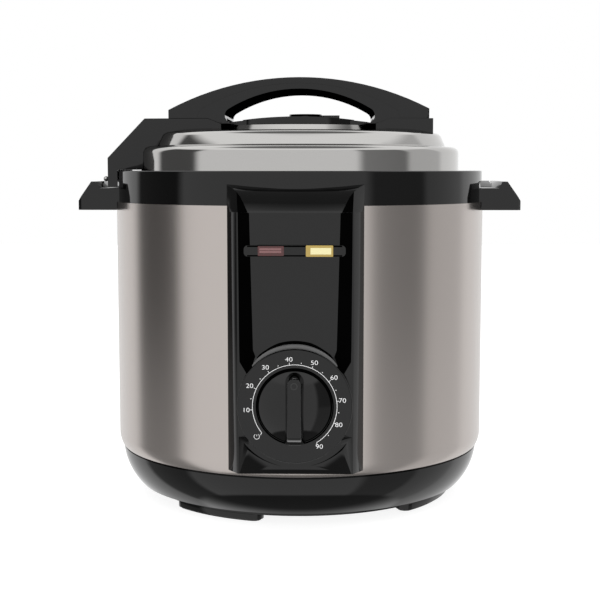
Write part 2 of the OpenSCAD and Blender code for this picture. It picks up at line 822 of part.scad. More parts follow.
module opening() {
    end_z = opening_top - opening_arc + sqrt(pow(opening_arc - opening_end, 2) - pow(opening_half, 2));
    meet = atan2(end_z - opening_top + opening_arc, opening_half);
    translate([grip_shift, 0, 0])
    side_profile(concat(
        arc([0, opening_top - opening_arc], opening_arc, 180 - meet, meet, 20),
        arc([opening_half, end_z], opening_end, meet, -90, 8),
        arc([-opening_half, end_z], opening_end, 270, 180 - meet, 8)));
}

module handle_grip() {
    color(SATIN_BLACK)
    difference() {
        lens_prism()
            side_profile(concat(seam_line(),
                [[foot_turn, grip_foot], [foot_end, foot_low], [-foot_end, foot_low],
                 [-foot_turn, grip_foot]]));
        cylinder(r = deck_r, h = 277.9);
        opening();
        for (x = [-grip_screw_x, grip_screw_x]) translate([x, 0, 0]) cylinder(r = 2.5, h = screw_top);
    }
}

module handle_cover() {
    seam = seam_line();
    color(SATIN_BLACK)
    lens_prism()
        side_profile(concat(
            crown_line(grip_top, grip_arc, -grip_end, grip_end, 24),
            [[grip_end, grip_foot]],
            [for (i = [len(seam) - 1:-1:0]) seam[i]],
            [[-grip_end, grip_foot]]));
}

module handle_screws() {
    color(POLISHED)
    for (x = [-grip_screw_x, grip_screw_x]) translate([x, 0, 0]) {
        translate([0, 0, lid_top - lid_t - 3]) cylinder(r = 4.5, h = 3);
        translate([0, 0, lid_top - lid_t]) cylinder(r = 2.5, h = screw_top - lid_top + lid_t);
    }
}

module parking_pin() {
    color(POLISHED)
    translate([-137, 0, pin_z]) rotate([0, -90, 0]) {
        cylinder(r = 1.2, h = 9.3);
        translate([0, 0, 9.3]) sphere(2, $fn = 48);
    }
}

module lid_stud() {
    color(POLISHED) translate([0, 0, plate_z - 7]) cylinder(r = 4, h = 276 - plate_z + 7);
}

module seal_plate() {
    color(POLISHED)
    difference() {
        rotate_extrude()
            polygon([[4, plate_z], [76, plate_z], [92, gasket_bottom + 5.5], [104.9, gasket_bottom + 5.5],
                     [104.9, gasket_bottom + 6.5], [92.5, gasket_bottom + 6.5], [76.5, plate_z + 1],
                     [4, plate_z + 1]]);
        translate([exhaust_at[0], exhaust_at[1], 0]) cylinder(r = 8, h = BIG);
        translate([float_at[0], float_at[1], 0]) cylinder(r = 6.5, h = BIG);
    }
}

module plate_nut() {
    color(POLISHED)
    difference() {
        union() {
            translate([0, 0, plate_z - 2]) cylinder(r = 11, h = 2);
            translate([0, 0, plate_z - 7]) cylinder(r = 8, h = 6, $fn = 6);
        }
        cylinder(r = 4, h = BIG);
    }
}

module exhaust_pipe() {
    color(POLISHED)
    translate([exhaust_at[0], exhaust_at[1], 0])
    difference() {
        union() {
            translate([0, 0, plate_z - 2]) cylinder(r = 4.5, h = 280.4 - plate_z + 2);
            translate([0, 0, lid_top + crown_step - lid_t - 4]) cylinder(r = 8, h = 4);
        }
        cylinder(r = 1.8, h = BIG);
    }
}

module exhaust_filter() {
    color(POLISHED)
    translate([exhaust_at[0], exhaust_at[1], plate_z - 8])
    difference() {
        cylinder(r = 12, h = 8);
        translate([0, 0, 1]) cylinder(r = 11, h = 6);
        cylinder(r = 4.5, h = 9);
        for (a = [0:45:315]) rotate([0, 0, a]) translate([8, 0, -1]) cylinder(r = 1.5, h = 3);
    }
}

// Weighted valve with a lever that turns on the exhaust pipe
module steam_valve() {
    color(GLOSS_BLACK)
    translate([exhaust_at[0], exhaust_at[1], 0])
    difference() {
        union() {
            translate([0, 0, 278.4]) cylinder(r = 15.5, h = 2.6);
            translate([0, 0, 280.8]) cylinder(r = 12.5, h = 1.8);
            box([0, -6.5, 278.9], [26, 6.5, 281.8]);
        }
        cylinder(r = 4.5 + running, h = 280.7);
    }
}

module float_pin() {
    color(POLISHED)
    translate([float_at[0], float_at[1], 0]) {
        translate([0, 0, plate_z - 4]) cylinder(r = 3, h = 270 - plate_z + 4);
        translate([0, 0, plate_z - 4]) cylinder(r = 4.8, h = 1.5);
        translate([0, 0, 269.5]) cylinder(r = 2.6, h = 5);
    }
}

module float_seal() {
    color(SILICONE)
    translate([float_at[0], float_at[1], 0])
    difference() {
        translate([0, 0, 262]) cylinder(r = 5.5, h = 2.4);
        cylinder(r = 3, h = BIG);
    }
}

base_shell();
bottom_cover();
cover_screws();
foot(0);  // foot_front_left
foot(1);  // foot_front_right
foot(2);  // foot_rear_right
foot(3);  // foot_rear_left
foot_pads();
outer_sleeve();
collar();
side_handle(180);  // side_handle_left
side_handle(0);  // side_handle_right
side_handle_screws();
panel_housing();
dial_plate();
lamp_bar();
cooking_lamp_lens();
warm_lamp_lens();
lamp_board();
timer_body();
outer_pot();
heat_shield();
heating_plate();
heater_terminals();
support_posts();
sensor_guide();
sensor_spring();
pressure_switch();
thermal_fuse();
terminal_block();
wiring_loom();
mains_inlet();
inlet_pins();
cup_holder();
timer_knob();
timer_shaft();
sensor_button();
inner_pot();
condensation_cup();
lid_gasket();
lid_shell();
lid_deck();
handle_base_left();
handle_base_right();
handle_grip();
handle_cover();
handle_screws();
parking_pin();
lid_stud();
seal_plate();
plate_nut();
exhaust_pipe();
exhaust_filter();
steam_valve();
float_pin();
float_seal();
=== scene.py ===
"""Looks of the electric pressure cooker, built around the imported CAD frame. Metres, floor at z = 0."""
import json
import math

import bpy
import bmesh
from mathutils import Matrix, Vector


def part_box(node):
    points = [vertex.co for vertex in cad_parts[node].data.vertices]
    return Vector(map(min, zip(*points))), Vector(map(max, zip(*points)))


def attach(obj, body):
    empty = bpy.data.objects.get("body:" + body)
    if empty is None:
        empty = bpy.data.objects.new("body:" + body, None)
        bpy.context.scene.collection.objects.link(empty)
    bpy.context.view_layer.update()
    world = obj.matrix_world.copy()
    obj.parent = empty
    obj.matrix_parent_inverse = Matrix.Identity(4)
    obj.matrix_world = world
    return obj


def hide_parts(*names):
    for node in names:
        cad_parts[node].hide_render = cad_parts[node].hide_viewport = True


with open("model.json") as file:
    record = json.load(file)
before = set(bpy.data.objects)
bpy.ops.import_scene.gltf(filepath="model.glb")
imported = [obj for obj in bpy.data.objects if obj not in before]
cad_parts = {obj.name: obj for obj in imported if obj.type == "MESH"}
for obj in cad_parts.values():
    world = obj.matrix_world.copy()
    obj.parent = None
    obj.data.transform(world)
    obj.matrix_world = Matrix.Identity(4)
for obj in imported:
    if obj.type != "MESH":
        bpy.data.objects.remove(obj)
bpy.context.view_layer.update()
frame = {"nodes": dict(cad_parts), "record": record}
NODES = frame["nodes"]
MM = 0.001

# Where the main pieces are, from the frame
COLLAR_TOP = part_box("collar")[1].z
DIAL_LOW, DIAL_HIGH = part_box("dial_plate")
DIAL_CENTRE = (DIAL_LOW + DIAL_HIGH) / 2
DIAL_R = (DIAL_HIGH.x - DIAL_LOW.x) / 2
GRIP_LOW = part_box("handle_grip")[0].z

SHARP_ANGLE = math.radians(32)  # edges sharper than this stay crisp
OPENING_HALF = 56 * MM  # half the width of the handle's finger opening
GRIP_FOOT = 4 * MM  # height of the grip's foot, below the opening's roof
FLANK_LOW = 105 * MM  # the panel's slanted flanks lie above this height
FLANK_FRONT = -139 * MM  # and in front of this depth


# ---------------------------------------------------------------- materials

def new_material(name, base, roughness, metallic=0.0, **sockets):
    """A Principled material; returns the material, its tree's nodes and links, and the shader node."""
    mat = bpy.data.materials.new(name)
    mat.use_nodes = True
    nodes, links = mat.node_tree.nodes, mat.node_tree.links
    nodes.clear()
    out = nodes.new("ShaderNodeOutputMaterial")
    shader = nodes.new("ShaderNodeBsdfPrincipled")
    links.new(shader.outputs["BSDF"], out.inputs["Surface"])
    shader.inputs["Base Color"].default_value = (*base, 1)
    shader.inputs["Roughness"].default_value = roughness
    shader.inputs["Metallic"].default_value = metallic
    for key, value in sockets.items():
        shader.inputs[key.replace("_", " ")].default_value = value
    return mat, nodes, links, shader


def object_position(nodes, links, scale=(1, 1, 1)):
    coords = nodes.new("ShaderNodeTexCoord")
    mapping = nodes.new("ShaderNodeMapping")
    mapping.inputs["Scale"].default_value = scale
    links.new(coords.outputs["Object"], mapping.inputs["Vector"])
    return mapping.outputs["Vector"]


def noise(nodes, links, vector, scale, detail=3.0, rough=0.5):
    node = nodes.new("ShaderNodeTexNoise")
    node.inputs["Scale"].default_value = scale
    node.inputs["Detail"].default_value = detail
    node.inputs["Roughness"].default_value = rough
    links.new(vector, node.inputs["Vector"])
    return node.outputs["Fac"]


def ranged(nodes, links, value, low, high):
    """Maps a 0-1 value to low-high."""
    node = nodes.new("ShaderNodeMapRange")
    node.inputs["From Min"].default_value = 0.25
    node.inputs["From Max"].default_value = 0.75
    node.inputs["To Min"].default_value = low
    node.inputs["To Max"].default_value = high
    links.new(value, node.inputs["Value"])
    return node.outputs["Result"]


def mixed_colour(nodes, links, factor, a, b):
    node = nodes.new("ShaderNodeMix")
    node.data_type = "RGBA"
    node.inputs["A"].default_value = (*a, 1)
    node.inputs["B"].default_value = (*b, 1)
    links.new(factor, node.inputs["Factor"])
    return node.outputs["Result"]


def bump(nodes, links, shader, height, strength, distance):
    node = nodes.new("ShaderNodeBump")
    node.inputs["Strength"].default_value = strength
    node.inputs["Distance"].default_value = distance
    links.new(height, node.inputs["Height"])
    links.new(node.outputs["Normal"], shader.inputs["Normal"])


def plastic(name, base, gloss, grain_scale, grain, dust=0.3, **sockets):
    """Moulded plastic: a fine grain, slight mottling of the colour and uneven gloss."""
    mat, nodes, links, shader = new_material(name, base, gloss, **sockets)
    place = object_position(nodes, links)
    wide = noise(nodes, links, place, 18, 4)
    links.new(ranged(nodes, links, wide, gloss * (1 - dust), gloss * (1 + dust)), shader.inputs["Roughness"])
    fine = noise(nodes, links, place, grain_scale, 2)
    pale = tuple(c * 1.5 + 0.0008 for c in base)
    links.new(mixed_colour(nodes, links, wide, base, pale), shader.inputs["Base Color"])
    bump(nodes, links, shader, fine, 0.35, grain)
    return mat


def turned_steel(name, base, darker, roughness, across, around, depth, anisotropy):
    """Steel brushed round the Z axis: fine rings that are long round the body and narrow up it."""
    mat, nodes, links, shader = new_material(name, base, roughness, 1.0, Anisotropic=anisotropy)
    coords = nodes.new("ShaderNodeTexCoord")
    split = nodes.new("ShaderNodeSeparateXYZ")
    links.new(coords.outputs["Object"], split.inputs[0])
    angle = nodes.new("ShaderNodeMath")
    angle.operation = "ARCTAN2"
    links.new(split.outputs["Y"], angle.inputs[0])
    links.new(split.outputs["X"], angle.inputs[1])
    flat = nodes.new("ShaderNodeVectorMath")
    flat.operation = "MULTIPLY"
    flat.inputs[1].default_value = (1, 1, 0)
    links.new(coords.outputs["Object"], flat.inputs[0])
    reach = nodes.new("ShaderNodeVectorMath")
    reach.operation = "LENGTH"
    links.new(flat.outputs["Vector"], reach.inputs[0])
    sheet_place = nodes.new("ShaderNodeCombineXYZ")
    links.new(angle.outputs[0], sheet_place.inputs["X"])
    links.new(split.outputs["Z"], sheet_place.inputs["Y"])
    links.new(reach.outputs["Value"], sheet_place.inputs["Z"])
    stretch = nodes.new("ShaderNodeMapping")
    stretch.inputs["Scale"].default_value = (around, across, across)
    links.new(sheet_place.outputs["Vector"], stretch.inputs["Vector"])
    lines = noise(nodes, links, stretch.outputs["Vector"], 1, 3, 0.6)
    links.new(ranged(nodes, links, lines, roughness * 0.92, roughness * 1.08), shader.inputs["Roughness"])
    links.new(mixed_colour(nodes, links, lines, base, darker), shader.inputs["Base Color"])
    bump(nodes, links, shader, lines, 0.1, depth)
    tangent = nodes.new("ShaderNodeTangent")
    tangent.direction_type = "RADIAL"
    tangent.axis = "Z"
    links.new(tangent.outputs["Tangent"], shader.inputs["Tangent"])
    return mat


def lens_material(name, colour, glow):
    mat, nodes, links, shader = new_material(name, colour, 0.12, Coat_Weight=0.6)
    place = object_position(nodes, links)
    ribs = noise(nodes, links, place, 900, 2)
    links.new(ranged(nodes, links, ribs, 0.08, 0.16), shader.inputs["Roughness"])
    shader.inputs["Emission Color"].default_value = (*colour, 1)
    shader.inputs["Emission Strength"].default_value = glow
    return mat


GLOSS = plastic("gloss_black_plastic", (0.0006, 0.0006, 0.0006), 0.06, 700, 0.000002, IOR=1.45)
SATIN = plastic("satin_black_plastic", (0.0006, 0.0006, 0.0007), 0.09, 2600, 0.000004, IOR=1.45)
# Black with no specular reflection: painted shade, put where the black plastic should look dark from shadow
# or a dark reflection.
SHADE_BLACK = plastic("painted_shade_black", (0.0004, 0.0004, 0.0004), 0.6, 2600, 0.00001, Specular_IOR_Level=0.0)
SLEEVE = turned_steel("rose_brushed_steel", (0.51, 0.468, 0.443), (0.49, 0.448, 0.423),
                      0.2, 2400, 14.0, 0.000001, 0.45)
LID = turned_steel("polished_lid_steel", (0.48, 0.473, 0.462), (0.46, 0.453, 0.442),
                   0.09, 2400, 14.0, 0.000001, 0.2)
SHEET = turned_steel("plain_sheet_steel", (0.62, 0.62, 0.62), (0.52, 0.52, 0.52),
                     0.3, 1500, 8.0, 0.000006, 0.2)
ALUMINIUM = turned_steel("spun_aluminium", (0.78, 0.78, 0.77), (0.7, 0.7, 0.69),
                         0.32, 1800, 2.0, 0.000008, 0.4)
IVORY = plastic("ivory_plastic", (0.62, 0.6, 0.54), 0.42, 1500, 0.00003)
BOARD = plastic("board_green", (0.03, 0.16, 0.07), 0.35, 900, 0.00002)
RUBBER = plastic("foot_rubber", (0.012, 0.012, 0.012), 0.75, 1800, 0.00006)
SILICONE = plastic("silicone", (0.62, 0.61, 0.57), 0.5, 900, 0.00003)
WIRE = plastic("wire_sheath", (0.35, 0.03, 0.02), 0.4, 900, 0.00002)
RED_LENS = lens_material("red_lens", (0.045, 0.001, 0.001), 0.15)
RED_FACE = lens_material("red_lens_face", (0.14, 0.06, 0.06), 0.35)
WARM_LENS = lens_material("warm_lens", (0.3, 0.21, 0.04), 0.35)
WARM_FACE = lens_material("warm_lens_face", (0.5, 0.46, 0.25), 0.62)
PRINT = plastic("white_print", (0.78, 0.78, 0.78), 0.5, 1500, 0.00001)
# Lighter grey than the panel's black plastic: painted highlight on the bead over the dial.
BEAD_HIGHLIGHT = plastic("bead_highlight_grey_plastic", (0.06, 0.06, 0.06), 0.3, 900, 0.000004)
# Slightly lighter black: the ring mark on the knob's bar, and also the painted highlight line round the
# bar's foot.
RING_MARK_AND_HIGHLIGHT = plastic("ring_mark_and_highlight", (0.03, 0.03, 0.03), 0.25, 900, 0.000004)


def clear_cup():
    mat, nodes, links, shader = new_material("clear_cup", (0.86, 0.9, 0.92), 0.08,
                                             Transmission_Weight=0.85, IOR=1.49)
    place = object_position(nodes, links)
    links.new(ranged(nodes, links, noise(nodes, links, place, 60), 0.05, 0.14), shader.inputs["Roughness"])
    return mat


CUP = clear_cup()

BY_SLOT = {"gloss_black": GLOSS, "satin_black": SATIN, "sleeve_steel": SLEEVE, "lid_steel": LID,
           "sheet_steel": SHEET, "pot_aluminium": ALUMINIUM, "timer_plastic": IVORY,
           "board_green": BOARD, "rubber_foot": RUBBER, "silicone": SILICONE,
           "lens_red": RED_LENS, "lens_warm": WARM_LENS, "cup_clear": CUP, "copper_wire": WIRE}


# ---------------------------------------------------------------- shading of the CAD nodes

def smoothing_group():
    """Geometry nodes that shade smooth all but the sharp edges."""
    group = bpy.data.node_groups.new("weld_and_smooth", "GeometryNodeTree")
    group.interface.new_socket("Geometry", in_out="INPUT", socket_type="NodeSocketGeometry")
    group.interface.new_socket("Geometry", in_out="OUTPUT", socket_type="NodeSocketGeometry")
    nodes, links = group.nodes, group.links
    source = nodes.new("NodeGroupInput")
    target = nodes.new("NodeGroupOutput")
    edge_angle = nodes.new("GeometryNodeInputMeshEdgeAngle")
    sharp = nodes.new("FunctionNodeCompare")
    sharp.operation = "LESS_THAN"
    sharp.inputs["B"].default_value = SHARP_ANGLE
    links.new(edge_angle.outputs["Unsigned Angle"], sharp.inputs["A"])
    by_face = nodes.new("GeometryNodeSetShadeSmooth")
    by_face.domain = "FACE"
    by_edge = nodes.new("GeometryNodeSetShadeSmooth")
    by_edge.domain = "EDGE"
    links.new(source.outputs["Geometry"], by_face.inputs["Geometry"])
    links.new(by_face.outputs["Geometry"], by_edge.inputs["Geometry"])
    links.new(sharp.outputs["Result"], by_edge.inputs["Shade Smooth"])
    links.new(by_edge.outputs["Geometry"], target.inputs["Geometry"])
    return group


SMOOTH = smoothing_group()
SOFT_EDGES = {"side_handle_left": 0.5, "side_handle_right": 0.5, "handle_grip": 0.4, "handle_cover": 1.2,
              "handle_base_left": 1.1, "handle_base_right": 1.1, "panel_housing": 0.3, "lamp_bar": 0.5,
              "mains_inlet": 0.5, "cup_holder": 0.6, "condensation_cup": 0.6, "steam_valve": 0.5,
              "lid_deck": 0.5, "cooking_lamp_lens": 0.25, "warm_lamp_lens": 0.25,
              "foot_front_left": 0.8, "foot_front_right": 0.8, "foot_rear_left": 0.8,
              "foot_rear_right": 0.8}


def finish_cad_nodes():
    slots = {s["node"]: s["material_slot"] for s in frame["record"]["subparts"]}
    for name, piece in NODES.items():
        piece.data.materials.clear()
        piece.data.materials.append(BY_SLOT[slots[name]])
        if name == "handle_grip":
            # The finger opening's roof gets the non-reflecting black: painted shade in place of the dark
            # reflection under the grip.
            piece.data.materials.append(SHADE_BLACK)
            for face in piece.data.polygons:
                inside = abs(face.center.x) < OPENING_HALF and abs(face.normal.y) < 0.3
                roof = face.normal.z < -0.12 and face.center.z > GRIP_LOW + GRIP_FOOT
                face.material_index = int(inside and roof)
        if name == "panel_housing":
            # The slanted flanks get the non-reflecting black: painted shade where the flanks fall dark.
            piece.data.materials.append(SHADE_BLACK)
            for face in piece.data.polygons:
                slanted = 0.55 < abs(face.normal.x) < 0.95
                high_front = face.center.z > FLANK_LOW and face.center.y < FLANK_FRONT
                face.material_index = int(slanted and high_front)
        weld = piece.modifiers.new("weld", "WELD")
        weld.merge_threshold = 0.00001
        if name in SOFT_EDGES:
            soft = piece.modifiers.new("soft_edges", "BEVEL")
            soft.width = SOFT_EDGES[name] * MM
            soft.segments = 3
            soft.limit_method = "ANGLE"
            soft.angle_limit = SHARP_ANGLE
            soft.use_clamp_overlap = True
        smooth = piece.modifiers.new("smooth", "NODES")
        smooth.node_group = SMOOTH


finish_cad_nodes()


# ---------------------------------------------------------------- added pieces

def place(name, mesh, material, body, slot_name):
    piece = bpy.data.objects.new(name, mesh)
    bpy.context.scene.collection.objects.link(piece)
    piece.data.materials.append(material)
    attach(piece, body)
    return piece


def on_dial(angle, reach, lift=0.03):
    """Point on the dial plate's face: degrees clockwise from the top, millimetres from its centre."""
    turn = math.radians(angle)
    return Vector((DIAL_CENTRE.x + reach * MM * math.sin(turn), DIAL_LOW.y - lift * MM,
                   DIAL_CENTRE.z + reach * MM * math.cos(turn)))


def stroke(bm, points, width):
    """Flat printed line through the points, facing -Y."""
    left, right = [], []
    for i, p in enumerate(points):
        along = (points[min(i + 1, len(points) - 1)] - points[max(i - 1, 0)]).normalized()
        side = Vector((-along.z, 0, along.x)) * width * MM / 2
        left.append(bm.verts.new(p + side))
        right.append(bm.verts.new(p - side))
    for i in range(len(points) - 1):
        bm.faces.new((left[i], left[i + 1], right[i + 1], right[i]))


# The dial's scale: degrees clockwise from the top, millimetres from its centre
OFF_ANGLE = -128.6
END_ANGLE = 148.7
TICKS = {10: -94.3, 20: -65.1, 30: -36.6, 40: -6.9, 50: 23.9, 60: 53.1, 70: 82.5, 80: 112.6, 90: 148.7}
SCALE_R = 27.3
MARK_R = 28.9  # outer end of the marks
NUMERAL_REACH = {10: 31.5, 20: 32, 30: 31.7, 40: 30.9, 50: 31.2, 60: 31.6, 70: 31, 80: 30.8, 90: 30.6}


def dial_print():
    bm = bmesh.new()
    steps = 120
    sweep = END_ANGLE - OFF_ANGLE
    stroke(bm, [on_dial(OFF_ANGLE + sweep * i / steps, SCALE_R) for i in range(steps + 1)], 0.32)
    for end in (OFF_ANGLE, END_ANGLE):
        stroke(bm, [on_dial(end, SCALE_R), on_dial(end + math.copysign(1.5, end), MARK_R)], 0.32)
    angles = sorted(TICKS.values())
    for a in angles[:-1]:
        stroke(bm, [on_dial(a, SCALE_R + 0.1), on_dial(a, MARK_R)], 0.3)
    for a, b in zip(angles, angles[1:]):
        mid = (a + b) / 2
        stroke(bm, [on_dial(mid, MARK_R - 0.5), on_dial(mid, MARK_R)], 0.5)
    # switch symbol by the off mark
    centre = on_dial(OFF_ANGLE, 31.4)
    ring = [centre + Vector((math.sin(t), 0, math.cos(t))) * 1.75 * MM
            for t in (math.radians(35 + 290 * i / 24) for i in range(25))]
    stroke(bm, ring, 0.26)
    stroke(bm, [centre + Vector((0, 0, 0.2 * MM)), centre + Vector((0, 0, 1.3 * MM))], 0.26)
    mesh = bpy.data.meshes.new("dial_scale")
    bm.to_mesh(mesh)
    bm.free()
    piece = place("dial_scale", mesh, PRINT, "cooker", "timer_plastic")
    thick = piece.modifiers.new("thick", "SOLIDIFY")
    thick.thickness = 0.025 * MM
    for number, angle in TICKS.items():
        text = bpy.data.curves.new(f"numeral_{number}", "FONT")
        text.body = str(number)
        text.size = 4.2 * MM
        text.extrude = 0.015 * MM
        text.offset = -0.045 * MM
        text.align_x = "CENTER"
        text.align_y = "CENTER"
        mark = place(f"numeral_{number}", text, PRINT, "cooker", "timer_plastic")
        mark.location = on_dial(angle, NUMERAL_REACH[number])
        mark.rotation_euler = (math.pi / 2, 0, 0)
        mark.scale = (1.18, 1, 1)


def loft(bm, rings):
    """Skins closed rings of equal length, in order, and caps both ends."""
    rows = [[bm.verts.new(p) for p in ring] for ring in rings]
    count = len(rows[0])
    for low, high in zip(rows, rows[1:]):
        for i in range(count):
            j = (i + 1) % count
            bm.faces.new((low[i], low[j], high[j], high[i]))
    bm.faces.new(rows[-1])
    bm.faces.new(list(reversed(rows[0])))


def shaded(bm, name):
    bmesh.ops.recalc_face_normals(bm, faces=bm.faces)
    mesh = bpy.data.meshes.new(name)
    bm.to_mesh(mesh)
    bm.free()
    return mesh


def smooth_piece(piece):
    smooth = piece.modifiers.new("smooth", "NODES")
    smooth.node_group = SMOOTH


def knob_at(x, depth, z):
    """Point by millimetres from the knob's centre, depth measured forward of the dial plate's face."""
    return Vector((DIAL_CENTRE.x + x * MM, DIAL_LOW.y - depth * MM, DIAL_CENTRE.z + z * MM))


def circle(radius, depth, count=96):
    turns = [2 * math.pi * i / count for i in range(count)]
    return [knob_at(radius * math.cos(t), depth, radius * math.sin(t)) for t in turns]


def bar_ring(half, top, bottom, depth):
    """Outline of the grip bar: round at the top, small corners at the foot."""
    corner = min(1.0, half * 0.3)
    points = []
    for i in range(25):
        t = math.pi * i / 24
        points.append(knob_at(half * math.cos(t), depth, top - half + half * math.sin(t)))
    for centre_x, start in ((-half + corner, 180), (half - corner, 270)):
        for i in range(5):
            t = math.radians(start + 90 * i / 4)
            points.append(knob_at(centre_x + corner * math.cos(t), depth,
                                  bottom + corner + corner * math.sin(t)))
    return points


KNOB_R = 23.2
KNOB_DOME = 39.0


def knob_skirt():
    bm = bmesh.new()
    edge = math.asin((KNOB_R - 0.4) / KNOB_DOME)
    crown = KNOB_DOME * (1 - math.cos(edge))
    rings = [circle(KNOB_R, -1), circle(KNOB_R, 0.5), circle(KNOB_R - 0.1, 0.8)]
    for i in range(12):
        lean = edge * (1 - i / 12)
        rings.append(circle(KNOB_DOME * math.sin(lean), 1.0 + crown - KNOB_DOME * (1 - math.cos(lean))))
    loft(bm, rings)
    piece = place("knob_skirt", shaded(bm, "knob_skirt"), GLOSS, "timer_knob", "gloss_black")
    smooth_piece(piece)
    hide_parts("timer_knob")


# Sections of the knob's grip bar, from its foot to its face: half width, top, bottom, depth
BAR_SECTIONS = [(6.5, 22.6, -24.4, 1.0), (6.3, 22.2, -24.4, 2.2), (6.0, 21.9, -23.9, 4.5),
                (5.8, 21.8, -23.2, 7.5), (5.4, 21.6, -21.9, 11.0), (4.9, 21.3, -20.0, 14.5),
                (4.6, 21.1, -18.6, 16.6), (4.45, 21.0, -17.6, 17.5),
                (4.2, 20.75, -17.1, 17.9), (3.9, 20.45, -16.8, 18.0)]


def knob_bar():
    bm = bmesh.new()
    loft(bm, [bar_ring(*section) for section in BAR_SECTIONS])
    smooth_piece(place("knob_bar", shaded(bm, "knob_bar"), GLOSS, "timer_knob", "gloss_black"))


def knob_details():
    # shallow ring mark on the bar, a lighter line round its foot that is a painted highlight of the foot's
    # edge, and a dark ring on the plate round the skirt that is painted shadow of the gap there
    bm = bmesh.new()
    for radius in (1.75, 2.15):
        turns = [2 * math.pi * i / 40 for i in range(41)]
        stroke(bm, [knob_at(radius * math.cos(t), 18.02, 16.3 + radius * math.sin(t)) for t in turns], 0.12)
    ring = place("knob_ring", shaded(bm, "knob_ring"), RING_MARK_AND_HIGHLIGHT, "timer_knob", "gloss_black")
    ring.modifiers.new("thick", "SOLIDIFY").thickness = 0.02 * MM
    # lighter line round the bar's foot: a painted highlight of the foot's edge
    bm = bmesh.new()
    stroke(bm, [knob_at(-4.4, 1.25, -23.6), knob_at(-4.3, 1.25, -24.6), knob_at(-3.4, 1.25, -25),
                knob_at(3.4, 1.25, -25), knob_at(4.3, 1.25, -24.6), knob_at(4.4, 1.25, -23.6)], 0.35)
    foot = place("knob_foot_painted_highlight", shaded(bm, "knob_foot_painted_highlight"), RING_MARK_AND_HIGHLIGHT, "timer_knob", "gloss_black")
    foot.modifiers.new("thick", "SOLIDIFY").thickness = 0.3 * MM
    # dark non-reflecting ring on the plate round the skirt: painted shadow of the gap between knob and plate
    bm = bmesh.new()
    count = 96
    rows = []
    for radius, rise in ((KNOB_R - 1, 0.0), (24.3, 0.4)):
        turns = [2 * math.pi * i / count for i in range(count)]
        rows.append([bm.verts.new(knob_at(radius * math.sin(t), 0.04, rise + radius * math.cos(t)))
                     for t in turns])
    for i in range(count):
        j = (i + 1) % count
        bm.faces.new((rows[0][i], rows[0][j], rows[1][j], rows[1][i]))
    gap = place("knob_painted_shadow_gap", shaded(bm, "knob_painted_shadow_gap"), SHADE_BLACK, "cooker", "gloss_black")
    gap.modifiers.new("thick", "SOLIDIFY").thickness = 0.03 * MM


def dial_bead():
    """Half-round bead on the panel over the dial plate, tapering to both ends; its plastic is a lighter grey
    than the panel's black, a painted highlight over the bead's own reflections.
    """
    bm = bmesh.new()
    rings = []
    for i in range(49):
        turn = math.radians(-46 + 92 * i / 48)
        minor = 0.3 + 1.3 * math.cos(math.radians(-90 + 180 * i / 48)) ** 0.6
        ring = []
        for j in range(9):
            t = math.pi * j / 8
            reach = DIAL_R / MM + 0.25 + minor - minor * math.cos(t)
            rise = 0.9 * minor * math.sin(t) - 0.1
            ring.append(knob_at(reach * math.sin(turn), rise, reach * math.cos(turn)))
        rings.append(ring)
    loft(bm, rings)
    piece = place("dial_bead", shaded(bm, "dial_bead"), BEAD_HIGHLIGHT, "cooker", "gloss_black")
    smooth_piece(piece)


def bar_grooves():
    """Dark non-reflecting strips along the lamp bar's upper and lower edges: painted shade of the grooves
    there.
    """
    a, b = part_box("lamp_bar")
    for name, low, high in (("bar_groove_shade_top", b.z - 1.1 * MM, b.z - 0.1 * MM),
                            ("bar_groove_shade_low", a.z + 0.1 * MM, a.z + 1.0 * MM)):
        bm = bmesh.new()
        inset = 2.2 * MM
        rings = []
        for depth in (0.1, -0.06):
            y = a.y + depth * MM
            rings.append([Vector((a.x + inset, y, low)), Vector((b.x - inset, y, low)),
                          Vector((b.x - inset, y, high)), Vector((a.x + inset, y, high))])
        loft(bm, rings)
        place(name, shaded(bm, name), SHADE_BLACK, "cooker", "gloss_black")


def lamp_face(name, node, material, slot_name, left, right, low, high, lift):
    """Inner face of a lamp lens, as shares of the lens's own width and height."""
    a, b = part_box(node)
    x0, x1 = a.x + (b.x - a.x) * left, a.x + (b.x - a.x) * right
    z0, z1 = a.z + (b.z - a.z) * low, a.z + (b.z - a.z) * high
    bm = bmesh.new()
    rings = []
    for inset, depth in ((0, 0.2), (0, -lift + 0.12), (0.12, -lift)):
        i = inset * MM
        y = a.y + depth * MM
        rings.append([Vector((x0 + i, y, z0 + i)), Vector((x1 - i, y, z0 + i)),
                      Vector((x1 - i, y, z1 - i)), Vector((x0 + i, y, z1 - i))])
    loft(bm, rings)
    place(name, shaded(bm, name), material, "cooker", slot_name)


dial_print()
knob_skirt()
knob_bar()
knob_details()
dial_bead()
bar_grooves()
lamp_face("red_rib_low", "cooking_lamp_lens", RED_FACE, "lens_red", 0.06, 0.9, 0.3, 0.52, 0.15)
lamp_face("red_rib_high", "cooking_lamp_lens", RED_FACE, "lens_red", 0.06, 0.9, 0.57, 0.8, 0.15)
lamp_face("warm_face", "warm_lamp_lens", WARM_FACE, "lens_warm", 0.17, 0.93, 0.2, 0.78, 0.15)


# ---------------------------------------------------------------- stage

# Brightness of the studio round the object, by degrees from the front towards +X
STUDIO_BANDS = [(-180, 1.0), (-120, 1.0), (-114, 0.1), (-79, 0.1), (-73, 1.0), (41, 1.0),
                (47, 0.3), (81, 0.24), (86, 0.7), (117, 0.7), (123, 1.0)]


def stepped(nodes, links, value, low, high, a, b):
    """Smooth change from a to b while value goes from low to high."""
    node = nodes.new("ShaderNodeMapRange")
    node.interpolation_type = "SMOOTHSTEP"
    node.inputs["From Min"].default_value = low
    node.inputs["From Max"].default_value = high
    node.inputs["To Min"].default_value = a
    node.inputs["To Max"].default_value = b
    links.new(value, node.inputs["Value"])
    return node.outputs["Result"]


